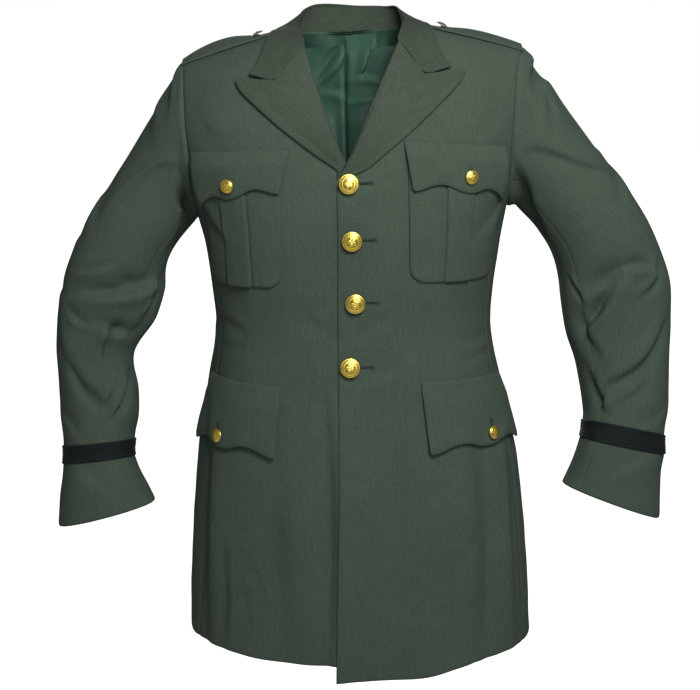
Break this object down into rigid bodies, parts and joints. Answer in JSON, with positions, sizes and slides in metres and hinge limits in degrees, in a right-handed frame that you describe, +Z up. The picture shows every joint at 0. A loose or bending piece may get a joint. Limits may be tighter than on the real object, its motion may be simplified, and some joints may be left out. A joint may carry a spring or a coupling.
{
  "type": "military dress tunic",
  "caption": "Hip-length single-breasted dress tunic with notched lapels, flapped pockets, shoulder loops and braided cuffs, filled out as worn and hollow.",
  "frame": {"origin": "the middle of the neck opening, at the height where the shoulder seams meet the neck", "axes": "+Z up, the wearer faces -Y, +X is the wearer's left"},
  "size_m": [0.7402, 0.2778, 0.786],
  "materials": {
    "wool_serge": "dark grey-green wool serge with a fine heathered twill",
    "lining_satin": "bottle-green satin lining",
    "black_braid": "black ribbed mohair braid",
    "gilt_metal": null
  },
  "bodies": {
    "root": {"front_left": "wool_serge", "front_right": "wool_serge", "side_left": "wool_serge", "side_right": "wool_serge", "back_left": "wool_serge", "back_right": "wool_serge", "top_sleeve_left": "wool_serge", "top_sleeve_right": "wool_serge", "under_sleeve_left": "wool_serge", "under_sleeve_right": "wool_serge", "collar": "wool_serge", "lapel_left": "wool_serge", "lapel_right": "wool_serge", "shoulder_loop_left": "wool_serge", "shoulder_loop_right": "wool_serge", "breast_pocket_left": "wool_serge", "breast_pocket_right": "wool_serge", "breast_flap_left": "wool_serge", "breast_flap_right": "wool_serge", "hip_flap_left": "wool_serge", "hip_flap_right": "wool_serge", "lining_back": "lining_satin", "cuff_braid_left": "black_braid", "cuff_braid_right": "black_braid", "front_button_1": "gilt_metal", "front_button_2": "gilt_metal", "front_button_3": "gilt_metal", "front_button_4": "gilt_metal", "breast_button_left": "gilt_metal", "breast_button_right": "gilt_metal", "hip_button_left": "gilt_metal", "hip_button_right": "gilt_metal", "loop_button_left": "gilt_metal", "loop_button_right": "gilt_metal"}
  },
  "joints": []
}
